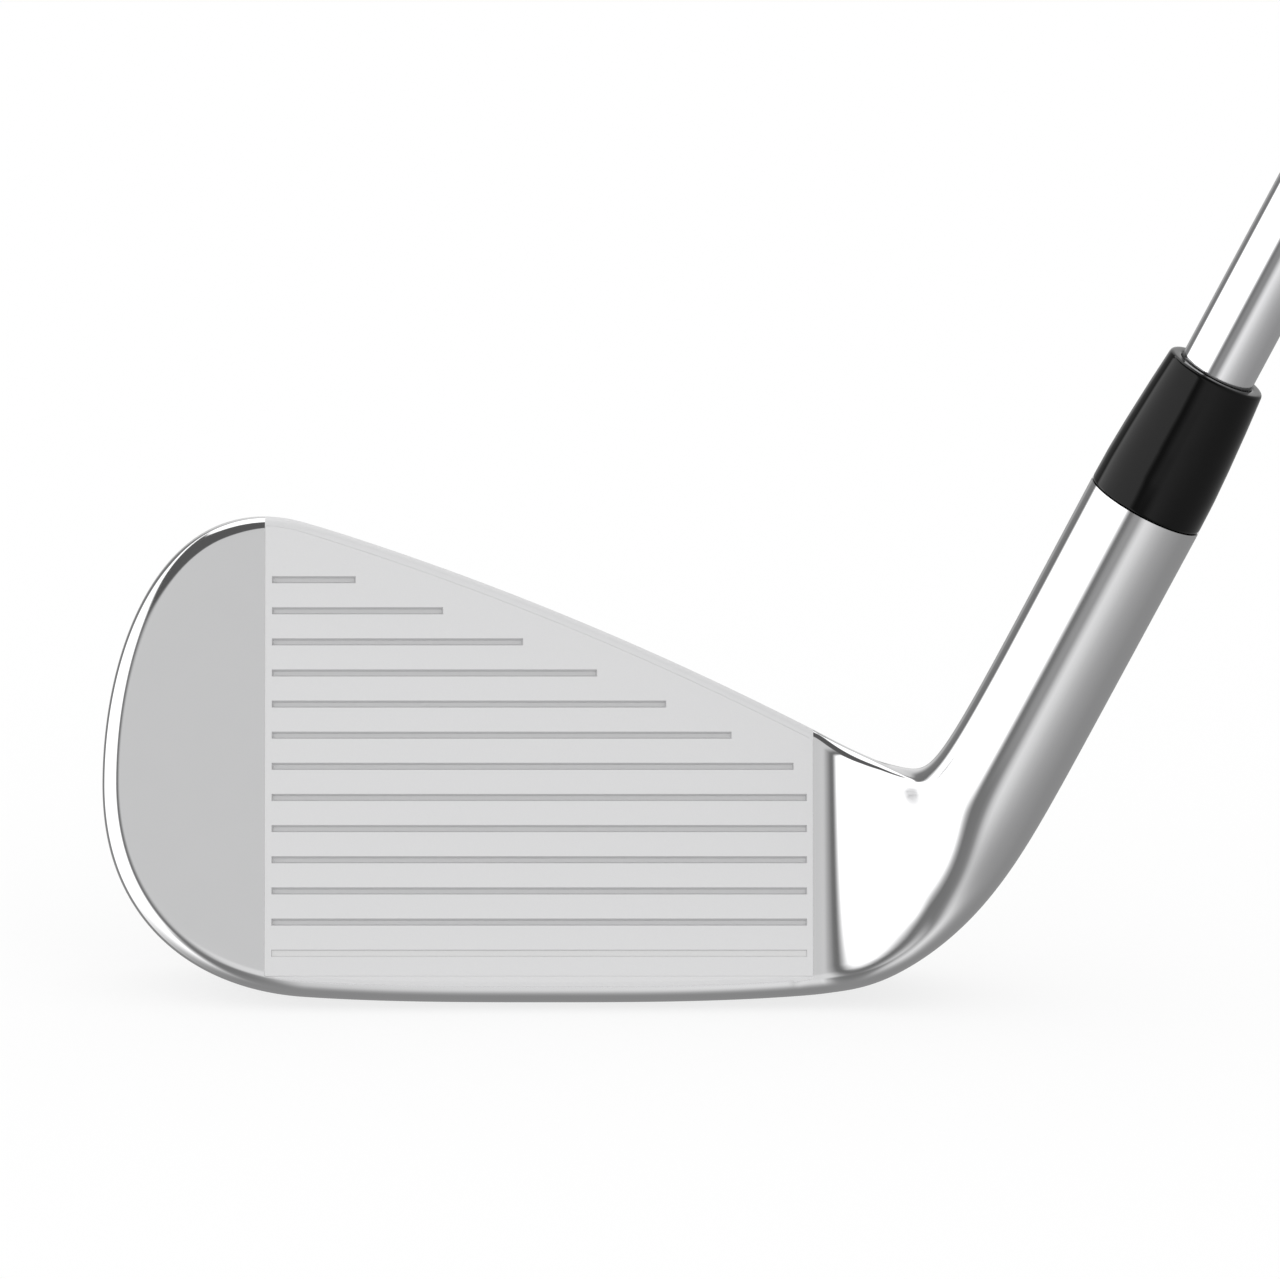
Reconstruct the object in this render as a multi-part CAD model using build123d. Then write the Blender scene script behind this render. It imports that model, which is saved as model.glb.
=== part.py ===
from build123d import *
import math
import os

# Right-handed cavity-back iron, standing at address. Millimetres.
# +X runs from the toe to the heel, the face looks towards -Y, +Z is up.
# The origin is the point where the sole touches the ground.

# ---- driving dimensions ----
LOFT = 26.0
LIE = 62.7
CLUB_LENGTH = 952.5           # ground to the end of the grip, along the shaft
AXIS_X = 38.8                 # where the shaft axis meets the ground
AXIS_Y = -6.2
HOSEL_TOP = 67.3              # every distance "t" is along the shaft axis from the ground
HOSEL_R = 6.85
HOSEL_TOP_R = 6.98
BORE_R = 4.65
BORE_FLOOR = 34.0

TOP_W = 44.5                  # topline height up the face at x = 0, its slope and its bend
TOP_SLOPE = 0.41
TOP_BEND = 0.00177
LEAD_BEND = 2.9e-5            # how the leading edge lifts towards both ends
TOE_X = -51.5                 # toe end of the blade
TOE_W = 23.75                 # height of the toe end, up the face
TOE_JOIN_X = -28.0            # where the toe curve meets the topline and the sole
TOE_TOP_REACH = 16.0          # fullness of the toe's two curves
TOE_LOW_REACH = 13.6
TOE_END_RISE = 17.2
TOE_END_DROP = 15.5
LEAD_R = 2.1                  # leading-edge and toe-rim roll
TOP_R = 0.9                   # topline roll
BACK_R = 1.4
LEAD_Y = -8.0                 # centre of the leading-edge roll
SOLE_CAMBER_R = 60.0          # front-to-back camber
SOLE_BOW = 1.8                 # how far the sole bellies below the line of its two edges
BLADE_THICK = 5.7             # behind the topline
SOLE_DEPTH = 18.0             # face to trailing edge, square to the face
MUSCLE_RISE = 16.0            # height over which the sole thins to the blade

FACE_THICK = 2.4
PLATE_TOE_X = -32.6
PLATE_HEEL_X = 31.2
PLATE_LOW_W = 0.6
PLATE_TOP_GAP = 1.4           # between the plate and the topline
LINE_COUNT = 13
LINE_PITCH = 3.69
LINE_LOW_W = 3.31
LINE_WIDTH = 0.85
LINE_DEPTH = 0.4
LINE_TOE_X = -31.8
LINE_HEEL_X = 30.5

PIVOT = (41.6, 30.5)          # centre of the crotch curve between topline and hosel, X and Z
CROTCH_R = 4.66
HEEL_START_X = 31.0
HEEL_CURVE = ((30.0, 1.26), (48.0, 2.5), (51.8, 10.2), (59.1, 24.4))
BLEND_START_X = 37.5          # where the blade starts to turn into the round hosel
BLEND_RUN = 13.0
FAN_RATE = 12.0               # blend run used up per radian round the crotch
BULGE = 2.8                   # how far the heel swells forward of the face
BULGE_START_X = 34.0
BULGE_RUN = 7.0
BULGE_DEPTH = 8.0             # behind the face, where the swelling has died away

FERRULE_LENGTH = 18.0
FERRULE_BASE_R = 6.95
FERRULE_TOP_R = 5.95
SHAFT_TIP_R = 4.5
SHAFT_BUTT_R = 7.6
SHAFT_FIRST_STEP = 290.0
SHAFT_LAST_STEP = 650.0
STEP_COUNT = 11
GRIP_LENGTH = 267.0
GRIP_MOUTH_R = 10.2
GRIP_BUTT_R = 13.6
CAP_THICK = 4.0
VENT_R = 1.6

POCKET_RIM = 5.0              # blade left round the cavity
POCKET_LOW_W = 15.0
POCKET_HEEL_X = 27.0
PAD_THICK = 0.9
BADGE_THICK = 0.8
BADGE_GAP = 0.5
WEIGHT_X = -33.0              # toe weight, in the face frame
WEIGHT_W = 11.3
WEIGHT_R = 2.8
WEIGHT_NEAR = 5.0
WEIGHT_FAR = 40.0
LINE_MARGIN = 5.35            # score lines stop this far under the topline
PAINT_FILL = 0.25
STEP_LENGTH = 1.2
TIP_WALL = 0.75
BUTT_WALL = 0.35
TIP_WEIGHT_LENGTH = 12.0
BAND_START = 610.0
BAND_LENGTH = 60.0
BAND_THICK = 0.1
TAPE_THICK = 0.2
MOUTH_LIP = 2.0               # the grip closes down onto the shaft over this length
GRIP_START = CLUB_LENGTH - GRIP_LENGTH
SHAFT_END = CLUB_LENGTH - CAP_THICK
BASE = (Align.CENTER, Align.CENTER, Align.MIN)

COS_L = math.cos(math.radians(LOFT))
SIN_L = math.sin(math.radians(LOFT))
TAN_L = SIN_L / COS_L
LEAD_Z = SOLE_CAMBER_R - math.sqrt((SOLE_CAMBER_R - LEAD_R) ** 2 - LEAD_Y ** 2)
# foot of the flat face, the origin of the face frame: x, w up the face, d behind the face
FACE_Y = LEAD_Y - LEAD_R * COS_L
FACE_Z = LEAD_Z + LEAD_R * SIN_L
FACE = Plane(origin=(0, FACE_Y, FACE_Z), x_dir=(1, 0, 0), z_dir=(0, -COS_L, SIN_L))
COS_LIE = math.cos(math.radians(LIE))
SIN_LIE = math.sin(math.radians(LIE))
# where the fan of heel cuts ends, square to the shaft axis
HOSEL_JOIN_T = (PIVOT[0] - AXIS_X) * COS_LIE + PIVOT[1] * SIN_LIE
AXIS = Plane(
    origin=(AXIS_X, AXIS_Y, 0),
    x_dir=(SIN_LIE, 0, -COS_LIE),
    z_dir=(COS_LIE, 0, SIN_LIE),
)


# ---- outline of the face, in the face frame ----
def smooth(u):
    u = min(1.0, max(0.0, u))
    return u * u * (3 - 2 * u)


def topline(x):
    return TOP_W - TOP_SLOPE * x - TOP_BEND * x * x


def leading_edge(x):
    return -LEAD_R + LEAD_BEND * abs(x) ** 3


def bezier(p, u):
    v = 1 - u
    return tuple(
        v ** 3 * a + 3 * v * v * u * b + 3 * v * u * u * c + u ** 3 * d
        for a, b, c, d in zip(*p)
    )


def toe_curves():
    """Two cubic curves: topline to the toe end, and toe end to the leading edge."""
    top_slope = -TOP_SLOPE - 2 * TOP_BEND * TOE_JOIN_X
    low_slope = -3 * LEAD_BEND * TOE_JOIN_X ** 2
    top = (TOE_JOIN_X, topline(TOE_JOIN_X))
    low = (TOE_JOIN_X, leading_edge(TOE_JOIN_X))
    end = (TOE_X, TOE_W)
    handle = (top[0] - TOE_TOP_REACH, top[1] - top_slope * TOE_TOP_REACH)
    upper = (top, handle, (TOE_X, TOE_W + TOE_END_RISE), end)
    handle = (low[0] - TOE_LOW_REACH, low[1] - low_slope * TOE_LOW_REACH)
    lower = (end, (TOE_X, TOE_W - TOE_END_DROP), handle, low)
    return upper, lower


TOE_UPPER, TOE_LOWER = toe_curves()


def solve_x(curve, x):
    """w where a toe curve passes x; x falls along the upper curve and rises along the lower."""
    rising = curve[0][0] < curve[3][0]
    low, high = 0.0, 1.0
    for _ in range(40):
        mid = (low + high) / 2
        if (bezier(curve, mid)[0] < x) == rising:
            low = mid
        else:
            high = mid
    return bezier(curve, low)[1]


def crotch_w(x):
    """The low curve between the topline and the hosel, as a height up the face."""
    drop = math.sqrt(max(0.0, CROTCH_R ** 2 - (x - PIVOT[0]) ** 2))
    return (PIVOT[1] - drop - FACE_Z) / COS_L


def heel_w(x):
    """Height of the outline where the heel curve lifts the leading edge."""
    z = solve_x(HEEL_CURVE, x)
    return (z + LEAD_R + LEAD_R * SIN_L - FACE_Z) / COS_L - LEAD_R


def top_w(x):
    if x < TOE_JOIN_X:
        return solve_x(TOE_UPPER, x)
    if x > PIVOT[0] - 2:
        return max(topline(x), crotch_w(x))
    return topline(x)


def low_w(x):
    if x < TOE_JOIN_X:
        return solve_x(TOE_LOWER, x)
    if x > HEEL_CURVE[0][0]:
        return heel_w(x)
    return leading_edge(x)


def outline_points():
    steps = [i / 60 for i in range(61)]
    stations = [TOE_JOIN_X + (PIVOT[0] - TOE_JOIN_X) * k / 240 for k in range(241)]
    points = [(x, top_w(x)) for x in stations]
    points += [(x, low_w(x)) for x in stations]
    points += [bezier(TOE_UPPER, u) for u in steps]
    points += [bezier(TOE_LOWER, u) for u in steps]
    return points


OUTLINE = outline_points()


def edge_distance(x, w):
    return min(math.hypot(px - x, pw - w) for px, pw in OUTLINE)


def roll(distance, radius):
    """How far a rolled edge has dropped at a distance in from the outline."""
    inside = max(0.0, radius - distance)
    return radius - math.sqrt(radius * radius - inside * inside)


def front_radius(x, w):
    return LEAD_R - (LEAD_R - TOP_R) * smooth((x + 38) / 14) * smooth((w - 10) / 15)


# ---- cross sections, as eight runs of points from the topline round the front and the sole ----
def to_yz(w, d):
    return (FACE_Y + w * SIN_L + d * COS_L, FACE_Z + w * COS_L - d * SIN_L)


def roll_steps(radius, room):
    """Distances in from an edge that sample its roll evenly."""
    reach = min(radius, room)
    return [reach * (1 - math.cos(math.radians(a))) for a in (0, 22.5, 45, 67.5, 90)]


def blade_section(x):
    """The cut at x, as eight lists of (y, z)."""
    top, low = top_w(x), low_w(x)
    room = (top - low) * 0.42
    share = smooth((34 - low) / 36)
    depth = BLADE_THICK + (SOLE_DEPTH - BLADE_THICK) * share
    top_r, lead_r = front_radius(x, top), front_radius(x, low)
    trail = low + (depth - lead_r) * TAN_L * share + 1.6 * share

    def front_point(w):
        ends = abs(w - top) < 1e-9 or abs(w - low) < 1e-9
        return (w, roll(0.0 if ends else edge_distance(x, w), front_radius(x, w)))

    def back_point(offset, from_top):
        """A point of the back; its roll is that of the matching point of the outline."""
        if from_top:
            w, match = top - offset, top - offset
        else:
            w, match = trail + offset, low + offset
        side = edge_distance(x, match) if offset else 0.0
        body = BLADE_THICK + (depth - BLADE_THICK) * (1 - smooth((w - trail) / MUSCLE_RISE))
        return (w, body - roll(side, BACK_R))

    upper = [front_point(top - s) for s in roll_steps(top_r, room)]
    lower = [front_point(low + s) for s in reversed(roll_steps(lead_r, room))]
    sole = []
    start, end = lower[-1], back_point(0.0, False)
    for k in range(7):
        u = k / 6
        bow = SOLE_BOW * share * 4 * u * (1 - u)
        sole.append(tuple(a + (b - a) * u for a, b in zip(start, end)))
        sole[-1] = (sole[-1][0] - bow, sole[-1][1])
    trailing = [back_point(s, False) for s in roll_steps(BACK_R, room)]
    crest = [back_point(s, True) for s in reversed(roll_steps(BACK_R, room))]
    first, last = trailing[-1][0] - trail, top - crest[0][0]
    span = top - last - trail - first
    back = [trailing[-1]]
    back += [back_point(first + span * k / 9, False) for k in range(1, 5)]
    back += [back_point(last + span * (9 - k) / 9, True) for k in range(5, 9)]
    back += [crest[0]]
    runs = [upper, [upper[-1], lower[0]], lower, sole, trailing, back, crest,
            [crest[-1], upper[0]]]
    return [[to_yz(w, d) for w, d in run] for run in runs]


def section_wire(runs, place):
    """One closed wire; place turns (y, z) into a point in space."""
    edges = []
    for run in runs:
        points = [place(y, z) for y, z in run]
        edges.append(Line(*points) if len(points) == 2 else Spline(*points))
    return Wire([e.edge() for e in edges])


def resample(run, count):
    return [
        tuple(a + (b - a) * k / count for a, b in zip(run[0], run[-1]))
        for k in range(count + 1)
    ]


ROUND_SPANS = (24, 40, 140, 168, 196, 214, 320, 340, 384)


def hosel_section(runs, q_in, q_out, share):
    """Blends a blade cut, in (y, q), towards an oval between q_in and q_out."""
    middle, half = (q_in + q_out) / 2, (q_out - q_in) / 2
    result = []
    for run, start, end in zip(runs, ROUND_SPANS, ROUND_SPANS[1:]):
        lengths = [0.0]
        for a, b in zip(run, run[1:]):
            lengths.append(lengths[-1] + math.dist(a, b))
        points = []
        for (y, q), length in zip(run, lengths):
            angle = math.radians(start + (end - start) * length / lengths[-1])
            round_y = AXIS_Y - HOSEL_R * math.sin(angle)
            round_q = middle - half * math.cos(angle)
            points.append((y + (round_y - y) * share, q + (round_q - q) * share))
        result.append(points)
    return result


def heel_runs(x):
    """The blade cut at x, swollen forward and evenly divided, in (y, q below the pivot)."""
    bulge = BULGE * smooth((x - BULGE_START_X) / BULGE_RUN)

    def swell(y, z):
        depth = (y - FACE_Y) * COS_L - (z - FACE_Z) * SIN_L
        return (y - bulge * (1 - smooth(depth / BULGE_DEPTH)), PIVOT[1] - z)

    runs = [[swell(y, z) for y, z in run] for run in blade_section(x)]
    runs[1] = resample(runs[1], 8)
    runs[7] = resample(runs[7], 3)
    return runs


def heel_low_q(angle):
    """Distance from the pivot to the heel's outer curve along a direction of the fan."""
    low, high = 0.0, 1.0
    for _ in range(40):
        mid = (low + high) / 2
        x, z = bezier(HEEL_CURVE, mid)
        if math.atan2(x - PIVOT[0], PIVOT[1] - z) < angle:
            low = mid
        else:
            high = mid
    x, z = bezier(HEEL_CURVE, low)
    return math.hypot(x - PIVOT[0], PIVOT[1] - z)


def heel_wires():
    """Cuts from the end of the face, round the fan and square across the hosel."""
    wires = []
    for x in (HEEL_START_X, 33.0, 35.0, 37.0, 39.0, 40.5, PIVOT[0]):
        runs = heel_runs(x)
        depths = [q for run in runs for y, q in run]
        share = smooth((x - BLEND_START_X) / BLEND_RUN)
        cut = hosel_section(runs, min(depths), max(depths), share)
        wires.append(section_wire(cut, lambda y, q, x=x: (x, y, PIVOT[1] - q)))
    low, high = min(depths), max(depths)
    for turn in (8, 16, 24, 32, 40, 48, 56, LIE):
        fan = math.radians(turn)
        q_in = CROTCH_R + (low - CROTCH_R) * (1 - turn / LIE)
        q_out = heel_low_q(fan) if turn < LIE else CROTCH_R + 2 * HOSEL_R
        stretch = (q_out - q_in) / (high - low)
        scaled = [[(y, q_in + (q - low) * stretch) for y, q in run] for run in runs]
        share = smooth((PIVOT[0] - BLEND_START_X + FAN_RATE * fan) / BLEND_RUN)
        cut = hosel_section(scaled, q_in, q_out, share)
        wires.append(section_wire(cut, lambda y, q, f=fan: (
            PIVOT[0] + q * math.sin(f), y, PIVOT[1] - q * math.cos(f))))
    return wires, cut


def hosel_top_wire(foot_cut):
    """The round cut at the hosel's foot, in (y, q), grown to the size of its top."""
    growth = HOSEL_TOP_R / HOSEL_R
    centre_q = CROTCH_R + HOSEL_R
    along = HOSEL_TOP - HOSEL_JOIN_T
    cut = [[(AXIS_Y + (y - AXIS_Y) * growth, centre_q + (q - centre_q) * growth)
            for y, q in run] for run in foot_cut]
    return section_wire(cut, lambda y, q: (
        PIVOT[0] + along * COS_LIE + q * SIN_LIE, y, PIVOT[1] + along * SIN_LIE - q * COS_LIE))


def blade_wires():
    wires = []
    for x in (-51.4, -51.1, -50.5, -49.5, -48.0, -46.0, -43.5, -40.5, -37.0, -33.0, -29.0,
              -24.0, -18.0, -10.0, 0.0, 10.0, 18.0, 24.0, 28.0, HEEL_START_X):
        wires.append(section_wire(blade_section(x), lambda y, z, x=x: (x, y, z)))
    return wires


# ---- the head ----
def pocket_outline(inset):
    """The cavity's outline in the face frame, drawn in by inset."""
    side = POCKET_RIM + inset
    low = POCKET_LOW_W + inset
    heel = POCKET_HEEL_X - inset
    crown = [(x, top_w(x) - side * 1.07) for x in (heel, 14.0, 0.0, -14.0, -28.0)]
    toe = [bezier(TOE_UPPER, u) for u in (0.45, 0.7, 0.9)]
    toe = [(x + side * (0.35 + 0.65 * k / 2), w - side * (0.95 - 0.4 * k))
           for k, (x, w) in enumerate(toe)]
    foot = (TOE_X + side + 3.5, low)
    edge = Spline(*crown, *toe, foot)
    return make_face([edge, Line(foot, (heel, low)), Line((heel, low), crown[0])])


def behind_face(face, near, far):
    """A slab of the given outline between two depths behind the face."""
    slab = extrude(face, amount=near - far)
    return FACE.location * Pos(0, 0, -near) * slab


def plate_outline(gap):
    stations = [PLATE_TOE_X + gap + (PLATE_HEEL_X - PLATE_TOE_X - 2 * gap) * k / 6
                for k in range(7)]
    crown = [(x, top_w(x) - PLATE_TOP_GAP - gap) for x in stations]
    low = PLATE_LOW_W + gap
    corners = [(stations[-1], low), (stations[0], low)]
    return make_face([
        Spline(*crown),
        Line(crown[-1], corners[0]),
        Line(*corners),
        Line(corners[1], crown[0]),
    ])


def on_axis(solid):
    return AXIS.location * solid


def tube(outer, inner, start, end):
    body = Pos(0, 0, start) * Cylinder(outer, end - start, align=BASE)
    if inner:
        body -= Pos(0, 0, start) * Cylinder(inner, end - start, align=BASE)
    return on_axis(body)


def head_blank():
    fan, foot_cut = heel_wires()
    blade = Solid.make_loft(blade_wires())
    heel = Solid.make_loft(fan)
    hosel = Solid.make_loft([fan[-1], hosel_top_wire(foot_cut)], ruled=True)
    return blade + heel + hosel


BLANK = head_blank()


def make_head_body():
    head = BLANK - behind_face(pocket_outline(0.0), FACE_THICK, 40.0)
    head -= behind_face(plate_outline(0.0), -1.0, FACE_THICK)
    head -= tube(BORE_R, 0, BORE_FLOOR, HOSEL_TOP + 1)
    head -= weight_slug()
    return head


def line_height(index):
    return LINE_LOW_W + LINE_PITCH * index


def line_heel_end(w):
    """Heel end of the score line at height w, kept a margin inside the topline."""
    low, high = LINE_TOE_X, PLATE_HEEL_X
    for _ in range(30):
        mid = (low + high) / 2
        if topline(mid) - (LINE_MARGIN + 0.012 * mid) > w:
            low = mid
        else:
            high = mid
    return min(low, LINE_HEEL_X)


def score_line(index, near, far):
    w = line_height(index)
    length = line_heel_end(w) - LINE_TOE_X
    bar = Pos(LINE_TOE_X + length / 2, w) * Rectangle(length, LINE_WIDTH)
    return behind_face(bar, near, far)


def make_face_plate():
    plate = behind_face(plate_outline(0.0), 0.0, FACE_THICK)
    for index in range(LINE_COUNT):
        plate -= score_line(index, -1.0, LINE_DEPTH)
    return plate


def make_line_paint():
    return score_line(0, LINE_DEPTH - PAINT_FILL, LINE_DEPTH)


def weight_slug():
    """A round bar square to the face, from inside the muscle out through its back."""
    bar = Pos(WEIGHT_X, WEIGHT_W, -WEIGHT_FAR) * Cylinder(
        WEIGHT_R, WEIGHT_FAR - WEIGHT_NEAR, align=BASE)
    return FACE.location * bar


def make_toe_weight():
    """The slug, finished flush with the muscle."""
    return BLANK & weight_slug()


def make_badge_pad():
    return behind_face(pocket_outline(BADGE_GAP), FACE_THICK, FACE_THICK + PAD_THICK)


def make_badge():
    near = FACE_THICK + PAD_THICK
    return behind_face(pocket_outline(BADGE_GAP), near, near + BADGE_THICK)


# ---- along the shaft axis ----
def revolved(profile):
    """A solid turned from (radius, t) points."""
    face = Plane.XZ * make_face(Polyline(*profile, close=True))
    return on_axis(revolve(face, Axis.Z))


def make_ferrule():
    base, end = HOSEL_TOP, HOSEL_TOP + FERRULE_LENGTH
    profile = [
        (SHAFT_TIP_R, base),
        (FERRULE_BASE_R, base),
        (FERRULE_BASE_R - 0.25, base + FERRULE_LENGTH * 0.45),
        (FERRULE_TOP_R + 0.1, end - 0.5),
        (FERRULE_TOP_R - 0.3, end),
        (SHAFT_TIP_R, end),
    ]
    return revolved(profile)


def shaft_outside():
    """Outer (radius, t) points: parallel tip, rising steps, parallel butt."""
    points = [(SHAFT_TIP_R, BORE_FLOOR), (SHAFT_TIP_R, SHAFT_FIRST_STEP)]
    rise = (SHAFT_BUTT_R - SHAFT_TIP_R) / STEP_COUNT
    spacing = (SHAFT_LAST_STEP - SHAFT_FIRST_STEP) / (STEP_COUNT - 1)
    for k in range(STEP_COUNT):
        t = SHAFT_FIRST_STEP + spacing * k
        radius = SHAFT_TIP_R + rise * (k + 1)
        points.append((radius, t + STEP_LENGTH))
        if k < STEP_COUNT - 1:
            points.append((radius, t + spacing))
    points.append((SHAFT_BUTT_R, SHAFT_END))
    return points


def make_shaft():
    outside = shaft_outside()
    walls = []
    for radius, t in reversed(outside):
        share = (radius - SHAFT_TIP_R) / (SHAFT_BUTT_R - SHAFT_TIP_R)
        wall = TIP_WALL + (BUTT_WALL - TIP_WALL) * share
        walls.append((radius - wall, t))
    return revolved(outside + walls)


def make_tip_weight():
    """Plain pin glued into the end of the shaft."""
    inside = SHAFT_TIP_R - TIP_WALL
    return tube(inside, 0, BORE_FLOOR, BORE_FLOOR + TIP_WEIGHT_LENGTH)


def make_hosel_epoxy():
    return tube(BORE_R, SHAFT_TIP_R, BORE_FLOOR, HOSEL_TOP)


def make_shaft_band():
    return tube(SHAFT_BUTT_R + BAND_THICK, SHAFT_BUTT_R, BAND_START, BAND_START + BAND_LENGTH)


def make_grip_tape():
    return tube(SHAFT_BUTT_R + TAPE_THICK, SHAFT_BUTT_R, GRIP_START + MOUTH_LIP, SHAFT_END)


def make_grip():
    inner = SHAFT_BUTT_R + TAPE_THICK
    end = SHAFT_END
    profile = [
        (inner, GRIP_START + MOUTH_LIP),
        (SHAFT_BUTT_R, GRIP_START + MOUTH_LIP),
        (SHAFT_BUTT_R, GRIP_START),
        (GRIP_MOUTH_R - 0.8, GRIP_START),
        (GRIP_MOUTH_R, GRIP_START + 1.5),
        (GRIP_MOUTH_R + 0.4, GRIP_START + 60),
        (GRIP_BUTT_R - 0.8, end - 70),
        (GRIP_BUTT_R, end),
        (inner, end),
    ]
    return revolved(profile)


def make_grip_cap():
    """Moulded end cap with its vent hole."""
    end = CLUB_LENGTH
    profile = [
        (VENT_R, end - CAP_THICK),
        (GRIP_BUTT_R, end - CAP_THICK),
        (GRIP_BUTT_R + 0.5, end - CAP_THICK + 1.2),
        (GRIP_BUTT_R + 0.2, end - 1.2),
        (GRIP_BUTT_R - 1.2, end),
        (VENT_R, end),
    ]
    return revolved(profile)


MAKERS = {
    "head_body": make_head_body,
    "face_plate": make_face_plate,
    "score_line_paint": make_line_paint,
    "toe_weight": make_toe_weight,
    "badge_pad": make_badge_pad,
    "cavity_badge": make_badge,
    "hosel_epoxy": make_hosel_epoxy,
    "tip_weight": make_tip_weight,
    "ferrule": make_ferrule,
    "shaft": make_shaft,
    "shaft_band": make_shaft_band,
    "grip_tape": make_grip_tape,
    "grip": make_grip,
    "grip_cap": make_grip_cap,
}

os.makedirs("parts", exist_ok=True)
for node, maker in MAKERS.items():
    export_step(maker(), "parts/" + node + ".step")
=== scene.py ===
import math

import bmesh
import bpy
import numpy as np
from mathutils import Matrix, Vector

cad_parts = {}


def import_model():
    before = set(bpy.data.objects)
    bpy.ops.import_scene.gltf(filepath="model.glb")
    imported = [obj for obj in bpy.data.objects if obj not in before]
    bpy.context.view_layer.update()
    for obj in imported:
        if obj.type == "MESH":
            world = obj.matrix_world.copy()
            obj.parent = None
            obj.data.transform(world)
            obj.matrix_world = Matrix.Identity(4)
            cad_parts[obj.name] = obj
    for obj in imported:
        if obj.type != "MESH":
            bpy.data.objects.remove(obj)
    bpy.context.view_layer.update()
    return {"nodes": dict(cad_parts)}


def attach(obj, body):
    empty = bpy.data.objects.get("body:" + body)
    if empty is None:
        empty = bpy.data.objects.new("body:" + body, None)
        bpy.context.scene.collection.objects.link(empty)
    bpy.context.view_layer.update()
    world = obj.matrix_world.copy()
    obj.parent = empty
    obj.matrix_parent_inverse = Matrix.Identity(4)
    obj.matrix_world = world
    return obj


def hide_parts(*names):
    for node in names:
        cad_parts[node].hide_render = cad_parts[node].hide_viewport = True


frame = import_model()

MM = 0.001

# ---- dimensions shared with the CAD model, in millimetres ----
LOFT = math.radians(26.0)
LIE = math.radians(62.7)
CLUB_LENGTH = 952.5
AXIS_X = 38.8                 # where the shaft axis meets the ground
AXIS_Y = -6.2
HOSEL_TOP = 67.3              # every distance "t" is along the shaft axis from the ground
HOSEL_R = 6.85
HOSEL_TOP_R = 6.98
BORE_R = 4.65
BORE_FLOOR = 34.0

TOP_W = 44.5                  # topline height up the face at x = 0, its slope and its bend
TOP_SLOPE = 0.41
TOP_BEND = 0.00177
LEAD_BEND = 2.9e-5            # how the leading edge lifts towards both ends
TOE_X = -51.5                 # toe end of the blade, and its height up the face
TOE_W = 23.75
TOE_JOIN_X = -28.0            # where the toe curve meets the topline and the sole
TOE_TOP_REACH = 16.0          # fullness of the toe's two curves
TOE_LOW_REACH = 13.6
TOE_END_RISE = 17.2
TOE_END_DROP = 15.5
LEAD_R = 2.1                  # leading-edge and toe-rim roll
TOP_R = 0.9                   # topline roll
CROTCH_ROLL = 1.1             # how much it grows towards the crotch
BACK_R = 1.4
LEAD_Y = -8.0                 # centre of the leading-edge roll
SOLE_CAMBER_R = 60.0          # front-to-back camber
SOLE_BOW = 1.8                # how far the sole bellies below the line of its two edges
BLADE_THICK = 5.7             # behind the topline
SOLE_DEPTH = 18.0             # face to trailing edge, square to the face
MUSCLE_RISE = 16.0            # height over which the sole thins to the blade

FACE_THICK = 2.4
PLATE_TOE_X = -32.6
PLATE_HEEL_X = 31.2
PLATE_LOW_W = 0.6
PLATE_TOP_GAP = 1.4
LINE_COUNT = 13
LINE_PITCH = 3.69
LINE_LOW_W = 3.31
LINE_WIDTH = 0.85
LINE_DEPTH = 0.4
LINE_TOE_X = -31.8
LINE_HEEL_X = 30.5
LINE_MARGIN = 5.35
LINE_MARGIN_RATE = 0.012

PIVOT_X = 41.6                # centre of the crotch curve between topline and hosel
PIVOT_Z = 30.5
CROTCH_R = 4.66
HEEL_START_X = 31.0
HEEL_CURVE = ((30.0, 1.26), (48.0, 2.5), (51.8, 10.2), (59.1, 24.4))
BLEND_START_X = 37.5          # where the blade starts to turn into the round hosel
BLEND_RUN = 13.0
FAN_RATE = 12.0               # blend run used up per radian round the crotch
BULGE = 2.8                   # how far the heel swells forward of the face
BULGE_START_X = 34.0
BULGE_LEAN = 0.6              # how much later it starts at BULGE_LEAN_W up the face
BULGE_LEAN_W = 40.0
BULGE_RUN = 7.0
BULGE_DEPTH = 8.0             # behind the face, where the swelling has died away

POCKET_RIM = 5.0              # blade left round the cavity
POCKET_LOW_W = 15.0
POCKET_HEEL_X = 27.0
POCKET_TOP_END_X = -26.0
PAD_THICK = 0.9
BADGE_THICK = 0.8
BADGE_GAP = 0.5
CAVITY_FAR = 40.0             # past the back of the muscle
WEIGHT_X = -33.0
WEIGHT_W = 11.3
WEIGHT_R = 2.8
WEIGHT_NEAR = 5.0

FERRULE_LENGTH = 18.0
FERRULE_BASE_R = 6.95
FERRULE_TOP_R = 5.95
SHAFT_TIP_R = 4.5
SHAFT_BUTT_R = 7.6
SHAFT_FIRST_STEP = 290.0
SHAFT_LAST_STEP = 650.0
STEP_COUNT = 11
STEP_LENGTH = 1.2
TIP_WALL = 0.75
BUTT_WALL = 0.35
GRIP_LENGTH = 267.0
GRIP_MOUTH_R = 10.2
GRIP_BUTT_R = 13.6
CAP_THICK = 4.0
VENT_R = 1.6
TAPE_THICK = 0.2
MOUTH_LIP = 2.0
GRIP_START = CLUB_LENGTH - GRIP_LENGTH
SHAFT_END = CLUB_LENGTH - CAP_THICK

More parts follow.
